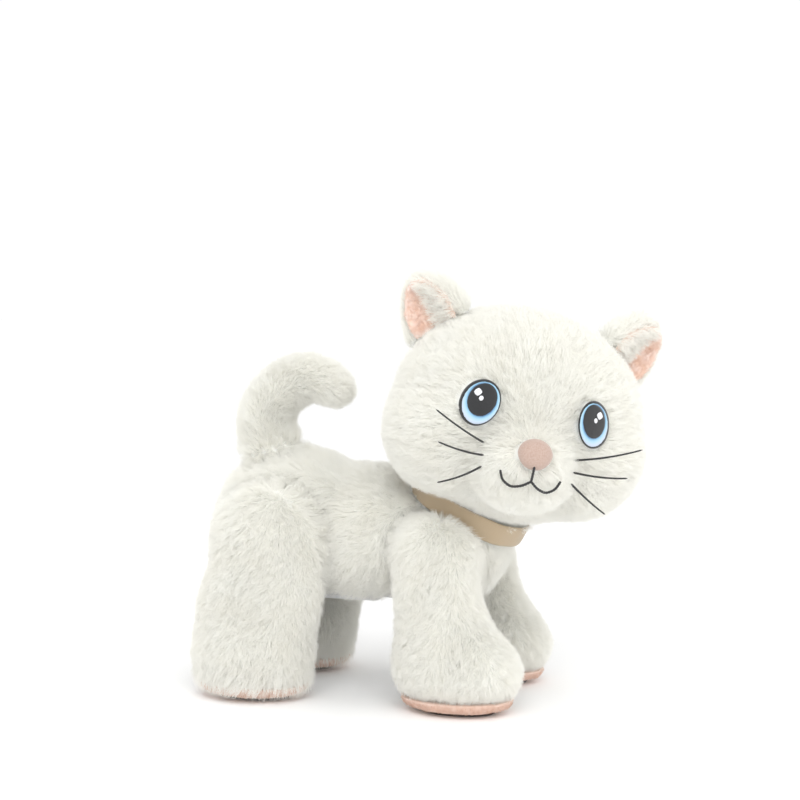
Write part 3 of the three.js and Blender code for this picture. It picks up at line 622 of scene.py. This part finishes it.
def ear(side_name, side):
    """An ear with its pink lining, and the white tuft that grows over the lining's edge."""
    o = remeshed(f"ear_{side_name}", f"ear_fur_{side_name}", 1.6 * MM, FUR, smooth=8)
    co, no = coords(o), normals(o)
    up = unit(np.tile(np.array([side * 0.56, 0, 0.82]), (len(co), 1)))
    flow = unit((up * MM) @ HEAD_R.T)
    lining = scene_tree([f"ear_lining_{side_name}", "head_skin"])
    room = reach_of(co, no, [lining], 0.012)
    outer = openness(room)
    move = -0.3 - 1.4 * outer + 0.7 * tufts(co, flow, 0.005, 71) * outer
    set_coords(o, co + no * (move * MM)[:, None])
    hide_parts(f"ear_{side_name}")
    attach(o, "head")
    at, turn = ear_frame(co, side)
    inner = np.clip((-side * at[:, 0] - 5) / 8, 0, 1)  # the edge toward the crown is fluffier
    over = (np.array([side * 1.0, -0.25, 0.45]) @ turn.T) @ HEAD_R.T
    sweep = unit(flow * (1 - 0.85 * inner)[:, None] + over * (0.85 * inner)[:, None])
    hair(f"ear_pile_{side_name}", "head", o, sweep, 6.5, 4.5, 0.08, STRAND, room, lean=0.8, seed=300 + side,
         grow=1 + 0.9 * inner, gate=np.maximum(room, 0.004 * (inner > 0.2)), frizz=0.2)
    p = remeshed(f"ear_lining_{side_name}", f"ear_pink_{side_name}", 0.9 * MM, EAR_PINK, smooth=4)
    co, no = coords(p), normals(p)
    q = (co - HEAD) @ HEAD_R / MM
    folds = 0.35 * np.sin(q[:, 2] * 0.55 + 0.8 * wobble(co, 0.02, 5)) + 0.2 * wobble(co, 0.006, 6)
    set_coords(p, co + no * (folds * MM * 0.8)[:, None])
    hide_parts(f"ear_lining_{side_name}")
    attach(p, "head")
    room = reach_of(co, no, [scene_tree([f"ear_{side_name}", "head_skin"])], 0.006)
    room = np.where(room >= 0.0059, 0.006, 0.0)
    hair(f"ear_pink_pile_{side_name}", "head", p, flow[:1].repeat(len(co), 0), 3.0, 3.5, 0.07, EAR_STRAND,
         room, lean=0.9, clump=3, seed=320 + side)
    at, turn = ear_frame(co, side)
    white = np.clip((-side * at[:, 0] + 3) / 6, 0, 1)
    hair(f"ear_tuft_{side_name}", "head", p, np.tile(over, (len(co), 1)), 9.0, 3.5, 0.08, STRAND,
         np.full(len(co), 0.009), lean=0.8, seed=340 + side, grow=0.5 + 0.5 * white,
         gate=np.where((white > 0.3) & (room > 0.004), 0.01, 0.0), frizz=0.2)


for side_name, side in SIDES:
    ear(side_name, side)


# ------------------------------------------------------------------ face
STITCH = 0.9  # mm from one ridge of satin stitch to the next


def face_patch(name, mat, cx, cz, rx, rz, out, dome, side, tilt=0.0, stitches=(0.0, 0.0), rings=10,
               spokes=48, shape=None, rim=None, thick=0.5, turned=0.0):
    """A raised patch of stitching that lies on the face: an oval, or any outline given by shape(angle)."""
    verts, rims = [], []
    levels = [(1.0, -thick), (1.02, out * 0.35), (0.985, out * 0.8)] + [
        (k / rings, out + dome * (1 - (k / rings) ** 2)) for k in range(rings - 1, 0, -1)]
    c, s = math.cos(tilt), math.sin(tilt)
    for t, height in levels:
        for k in range(spokes):
            a = 2 * math.pi * k / spokes
            g = shape(a) if shape else 1.0
            x, z = rx * t * g * math.cos(a), rz * t * g * math.sin(a)
            x, z = x * c - z * s, x * s + z * c
            X, Z = cx + side * x, cz + z
            across = x * math.cos(stitches[1]) + z * math.sin(stitches[1])
            ridge = stitches[0] * math.sin(across * 2 * math.pi / STITCH)
            y = float(soft_face_y(X, Z)) - height - (ridge if height > 0 else 0)
            y += turned * (side * X - abs(cx))
            verts.append((X, y, Z))
            rims.append(rim(X, Z) if rim else t)
    X, Z = cx, cz
    verts.append((X, float(soft_face_y(X, Z)) - out - dome, Z))
    rims.append(rim(X, Z) if rim else 0)
    verts.append((X, float(soft_face_y(X, Z)) + thick, Z))
    rims.append(rim(X, Z) if rim else 0)
    faces = []
    n = len(levels)
    for i in range(n - 1):
        for k in range(spokes):
            k2 = (k + 1) % spokes
            quad = (i * spokes + k, i * spokes + k2, (i + 1) * spokes + k2, (i + 1) * spokes + k)
            faces.append(quad)
    top, bottom = n * spokes, n * spokes + 1
    for k in range(spokes):
        k2 = (k + 1) % spokes
        faces.append(((n - 1) * spokes + k, (n - 1) * spokes + k2, top))
        faces.append((k2, k, bottom))
    o = new_object(name, from_head(verts), faces, mat)
    outward(o)
    at = o.data.attributes.new("rim", "FLOAT", "POINT")
    at.data.foreach_set("value", np.array(rims, np.float32))
    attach(o, "head")
    return o


EYE = dict(x=34.8, z=-7.0, rx=10.9, rz=13.7)  # centre and half sizes, in mm of the head's own frame
TURN = 0.2  # the eyes face a little outward
LIFT = 0.9  # how far the stitching stands off the plush


def eye(side_name, side):
    """A black outline with an iris, a pupil and two glints on it, each a patch of satin stitch."""
    ex, ez = side * EYE["x"], EYE["z"]
    outline = face_patch(f"eye_outline_{side_name}", THREAD, ex, ez, EYE["rx"], EYE["rz"], 0.8 + LIFT, 0.2,
                         side, tilt=0.12, stitches=(0.05, 0.6), turned=TURN)
    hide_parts(f"eye_{side_name}")
    pupil_x, pupil_z = ex - side * 0.75, ez + 1.35

    def rim_of(X, Z):
        d = math.hypot((X - pupil_x) / 8.0, (Z - pupil_z) / 10.2)
        return min(max((d - 0.98) / 0.34, 0), 1)

    iris = face_patch(f"eye_iris_{side_name}", IRIS, ex - side * 0.3, ez - 0.35, EYE["rx"] - 0.85,
                      EYE["rz"] - 0.95, 1.25 + LIFT, 0.2, side, tilt=0.12, stitches=(0.05, 1.3),
                      rim=rim_of, rings=16, turned=TURN)
    pupil = face_patch(f"eye_pupil_{side_name}", PUPIL, pupil_x, pupil_z, 8.3, 10.4, 1.65 + LIFT, 0.25, side,
                       tilt=0.15, stitches=(0.05, 0.0), turned=TURN)
    big = face_patch(f"eye_glint_large_{side_name}", GLINT, pupil_x + side * 3.0, pupil_z + 4.2, 2.2, 2.4,
                     2.1 + LIFT, 0.2, side, rings=4, spokes=20, turned=TURN,
                     shape=lambda a: 1 - 0.14 * abs(math.sin(2 * a)))
    small = face_patch(f"eye_glint_small_{side_name}", GLINT, pupil_x + side * 0.8, pupil_z + 0.7, 1.35, 1.6,
                       2.1 + LIFT, 0.2, side, rings=4, spokes=18, turned=TURN)


for side_name, side in SIDES:
    eye(side_name, side)


def tube(points, radius, sides=10, samples=40, taper=None, stitch=0.0):
    """A round thread through points, closed at both ends."""
    fine, s = resampled(points, samples, 6)
    tangent = unit(np.gradient(fine, axis=0))
    ref = np.array([0.0, 0.0, 1.0]) if abs(tangent[0, 2]) < 0.8 else np.array([1.0, 0, 0])
    verts, faces = [], []
    for i in range(samples):
        a = unit(np.cross(tangent[i], ref))
        b = np.cross(tangent[i], a)
        t = i / (samples - 1)
        r = radius * (taper(t) if taper else 1)
        r *= 1 + stitch * math.sin(s[i] * 2 * math.pi / 1.6)
        end = min(t, 1 - t) * (samples - 1)
        r *= math.sqrt(max(1 - max(0, 1 - end / 1.5) ** 2, 0.08))
        for k in range(sides):
            ang = 2 * math.pi * k / sides
            verts.append(fine[i] + r * (a * math.cos(ang) + b * math.sin(ang)))
    for i in range(samples - 1):
        for k in range(sides):
            k2 = (k + 1) % sides
            faces.append((i * sides + k, i * sides + k2, (i + 1) * sides + k2, (i + 1) * sides + k))
    faces.append(tuple(range(sides - 1, -1, -1)))
    faces.append(tuple(range((samples - 1) * sides, samples * sides)))
    return verts, faces


def face_line(points, out):
    """A line drawn in x and z as points that lie on the face, some mm proud of it."""
    fine, _ = resampled(points, 24, 3)
    return [(a, float(soft_face_y(a, b)) - out, b) for a, b in fine]


ARC = [(0, -49), (4.6, -52.3), (10.6, -53.6), (16, -50.4), (18.2, -45)]
STEM = [(0, -39.5), (0, -44), (0, -49.4)]


def mouth_piece():
    """One arc each side and a short stem, in satin stitch."""
    verts, faces = [], []
    for line in (ARC, [(-x, z) for x, z in ARC], STEM):
        v, f = tube(face_line(line, 2.2), 0.78, stitch=0.12, samples=60 if len(line) > 3 else 20)
        base = len(verts)
        verts += v
        faces += [tuple(base + i for i in q) for q in f]
    mouth = new_object("mouth_stitches", from_head(verts), faces, THREAD)
    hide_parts("mouth_stitching")
    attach(mouth, "head")


mouth_piece()

# level, height of the root, then how far the tip lies out, forward and up from it, in mm
WHISKERS = [("upper", -29.5, 35, 20, 11), ("middle", -37, 30, 12, 1), ("lower", -43.5, 24, -2, -14)]


def whiskers(side_name, side):
    """Three bowed bristles that thin toward the tip."""
    for level, z, out, forward, up in WHISKERS:
        y = float(face_y(side * 27, z))
        root = np.array([side * 27, y + 1.0, z])
        tip = root + np.array([side * out, -forward, up])
        mid = (root + tip) / 2 + np.array([0, -3, -1.5])
        u = np.linspace(0, 1, 20)[:, None]
        bow = (1 - u) ** 2 * root + 2 * u * (1 - u) * (2 * mid - (root + tip) / 2) + u**2 * tip
        v, f = tube(bow, 0.72, sides=8, samples=30, taper=lambda t: 1.0 - 0.3 * t)
        w = new_object(f"bristle_{level}_{side_name}", from_head(v), f, THREAD)
        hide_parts(f"whisker_{level}_{side_name}")
        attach(w, "head")


for side_name, side in SIDES:
    whiskers(side_name, side)

NOSE_SIZE = dict(z=-33, rx=10.4, rz=9.2, front=7.2, back=2.5)  # height and half sizes, in mm


def nose_piece():
    """A flocked dome, narrower below, with a faint dimple for each nostril."""
    ny = float(face_y(0, NOSE_SIZE["z"]))
    verts, faces = [], []
    rows, cols = 22, 40
    for i in range(rows + 1):
        th = math.pi * i / rows
        for k in range(cols):
            ph = 2 * math.pi * k / cols
            x, z = math.sin(th) * math.cos(ph), math.sin(th) * math.sin(ph)
            y = -math.cos(th)
            point = 1 - 0.10 * max(0, -z) * abs(x)
            dimple = 0.35 * math.exp(-((abs(x) - 0.42) / 0.16) ** 2 - ((z + 0.45) / 0.2) ** 2) * (y < 0)
            deep = NOSE_SIZE["front"] if y < 0 else NOSE_SIZE["back"]
            height = NOSE_SIZE["z"] + NOSE_SIZE["rz"] * z
            verts.append((NOSE_SIZE["rx"] * x * point, ny + 1.0 + deep * y + dimple, height))
    for i in range(rows):
        for k in range(cols):
            k2 = (k + 1) % cols
            faces.append((i * cols + k, i * cols + k2, (i + 1) * cols + k2, (i + 1) * cols + k))
    nose = new_object("nose_dome", from_head(verts), faces, NOSE)
    outward(nose, weld=1e-6)
    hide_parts("nose")
    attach(nose, "head")


nose_piece()


# ------------------------------------------------------------------ collar
SIDEWAYS = np.array([1.0, 0, 0])
BACK = np.cross(AXIS, SIDEWAYS)
HALF, R0, THICK = 6.9, 37.6, 0.9  # half the ribbon's width, its inner radius and its thickness, in mm


def collar_piece():
    """A closed loop of ribbon with sewn hems, a little uneven round the neck."""
    around, across = 240, 15
    verts = []
    for k in range(around):
        a = 2 * math.pi * k / around
        ripple = 0.22 * math.sin(5 * a + 1) + 0.12 * math.sin(13 * a)
        for layer in (0, 1):
            for j in range(across):
                t = -1 + 2 * j / (across - 1)
                hem = 0.22 * math.exp(-((abs(t) - 0.8) / 0.06) ** 2)
                edge = 0.35 * max(0, (abs(t) - 0.86) / 0.14) ** 2
                crown = 0.25 * (1 - t * t)
                r = R0 + ripple + (THICK + crown - hem - edge if layer else edge)
                h = HALF * t + 0.18 * math.sin(7 * a + 2)
                verts.append(NECK + MM * (r * (SIDEWAYS * math.cos(a) + BACK * math.sin(a)) + h * AXIS))
    faces = []
    row = 2 * across
    for k in range(around):
        n0, n1 = k * row, ((k + 1) % around) * row
        for j in range(across - 1):
            faces.append((n0 + j, n0 + j + 1, n1 + j + 1, n1 + j))
            faces.append((n0 + across + j + 1, n0 + across + j, n1 + across + j, n1 + across + j + 1))
        faces.append((n0 + across, n0, n1, n1 + across))
        faces.append((n0 + across - 1, n0 + row - 1, n1 + row - 1, n1 + across - 1))
    collar = new_object("collar_ribbon", verts, faces, RIBBON)
    outward(collar)
    lie = np.zeros((len(verts), 3), np.float32)
    for i in range(len(verts)):
        k, j = divmod(i, 2 * across)
        along = 2 * math.pi * R0 * abs(k - around / 2) / around
        lie[i] = (along, HALF * (-1 + 2 * (j % across) / (across - 1)), 0)
    collar.data.attributes.new("weave", "FLOAT_VECTOR", "POINT").data.foreach_set("vector", lie.ravel())
    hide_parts("collar")
    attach(collar, "chassis")


collar_piece()


# ------------------------------------------------------------------ paw pads
PUCKERS = 46  # gathers round a pad's edge


def paw_cushion(f, s):
    """A puckered pink pad with a short nap round its side."""
    o = remeshed(f"paw_pad_{f}_{s}", f"paw_cushion_{f}_{s}", 1.1 * MM, PINK, smooth=6)
    co, no = coords(o), normals(o)
    lo, hi = co.min(0), co.max(0)
    side = np.abs(no[:, 2]) < 0.75
    angle = np.arctan2(co[:, 1] - (lo[1] + hi[1]) / 2, co[:, 0] - (lo[0] + hi[0]) / 2)
    pucker = 0.22 * np.sin(angle * PUCKERS)
    level = np.clip((co[:, 2] - lo[2]) / (hi[2] - lo[2]), 0, 1)
    co = co + no * ((pucker * level * side + 0.15 * wobble(co, 0.008, 9)) * MM)[:, None]
    co[:, 2] = np.clip(co[:, 2], lo[2], hi[2])
    set_coords(o, co)
    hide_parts(f"paw_pad_{f}_{s}")
    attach(o, f"leg_{f}_{s}")
    room = np.where((no[:, 2] < 0.6) & (no[:, 2] > -0.85), 0.008, 0.0)
    flow = np.tile(np.array([0, 0.3, -1.0]), (len(co), 1))
    hair(f"paw_nap_{f}_{s}", f"leg_{f}_{s}", o, flow, 2.2, 2.4, 0.09, PINK_STRAND, room, lean=0.7,
         clump=3, seed=500 + len(f) + len(s))


for f, s in PAWS:
    paw_cushion(f, s)


# ------------------------------------------------------------------ carried-over hard pieces
# what a node's name starts with: the first match counts, so the battery door isn't taken for a cell
LOOKS = [
    (("paw_sole",), RUBBER),
    (("leg_frame", "chassis", "battery_door", "back_button", "neck_post", "tail_core"), CASING),
    (("skull", "head_button"), CASING),
    (("drive_bar", "crank", "gearbox"), GEAR),
    (("leg_axle", "door_screw", "drive_motor"), STEEL),
    (("circuit_board",), BOARD),
    (("battery_",), CELL),
    (("speaker", "power_switch", "neck_servo"), BLACK),
]
for name, o in NODES.items():
    for starts, mat in LOOKS:
        if name.startswith(starts):
            o.data.materials.clear()
            o.data.materials.append(mat)
            break

# ------------------------------------------------------------------ stage, light and camera
FLOOR = 4  # half the floor's side, in metres
CORNERS = [(-FLOOR, -FLOOR, 0), (FLOOR, -FLOOR, 0), (FLOOR, FLOOR, 0), (-FLOOR, FLOOR, 0)]
stage = new_object("floor", CORNERS, [(0, 1, 2, 3)],
                   material("studio_floor", (255, 255, 255), 0.9), smooth=False)
stage.location.z = -0.0002

world = bpy.data.worlds.new("studio")
bpy.context.scene.world = world
world.use_nodes = True
world.node_tree.nodes["Background"].inputs["Color"].default_value = (1.0, 1.0, 1.0, 1)
world.node_tree.nodes["Background"].inputs["Strength"].default_value = 1.02


def lamp(name, at, toward, size, power):
    """A square area light."""
    data = bpy.data.lights.new(name, "AREA")
    data.size = size
    data.energy = power
    o = bpy.data.objects.new(name, data)
    bpy.context.scene.collection.objects.link(o)
    o.location = at
    o.rotation_mode = "QUATERNION"
    o.rotation_quaternion = (Vector(toward) - Vector(at)).to_track_quat("-Z", "Y")


lamp("key", (-1.0, -0.3, 1.2), (0, 0, 0.12), 0.9, 7.5)
lamp("fill", (-0.9, -1.3, 0.5), (0, 0, 0.12), 1.2, 3.4)

# the camera looks along FORWARD, from a place told in mm of the design frame
FORWARD, RIGHT = np.array([0.9563, 0.2924, 0]), np.array([0.2924, -0.9563, 0])
BACK_OFF, ASIDE, HEIGHT = 1190, 16.7, 300
PITCH = math.radians(5.47)
cam_data = bpy.data.cameras.new("camera")
cam_data.lens = 84.4
cam_data.sensor_width = 36
cam = bpy.data.objects.new("camera", cam_data)
bpy.context.scene.collection.objects.link(cam)
cam.location = Vector(place(*(-FORWARD * BACK_OFF + RIGHT * ASIDE + np.array([0, 0, HEIGHT]))))
aim = Vector(FORWARD * math.cos(PITCH)) - Vector((0, 0, math.sin(PITCH)))
cam.rotation_mode = "QUATERNION"
cam.rotation_quaternion = aim.to_track_quat("-Z", "Y")
cam_data.clip_start, cam_data.clip_end = 0.05, 20
bpy.context.scene.camera = cam
bpy.context.scene.view_settings.view_transform = "Standard"
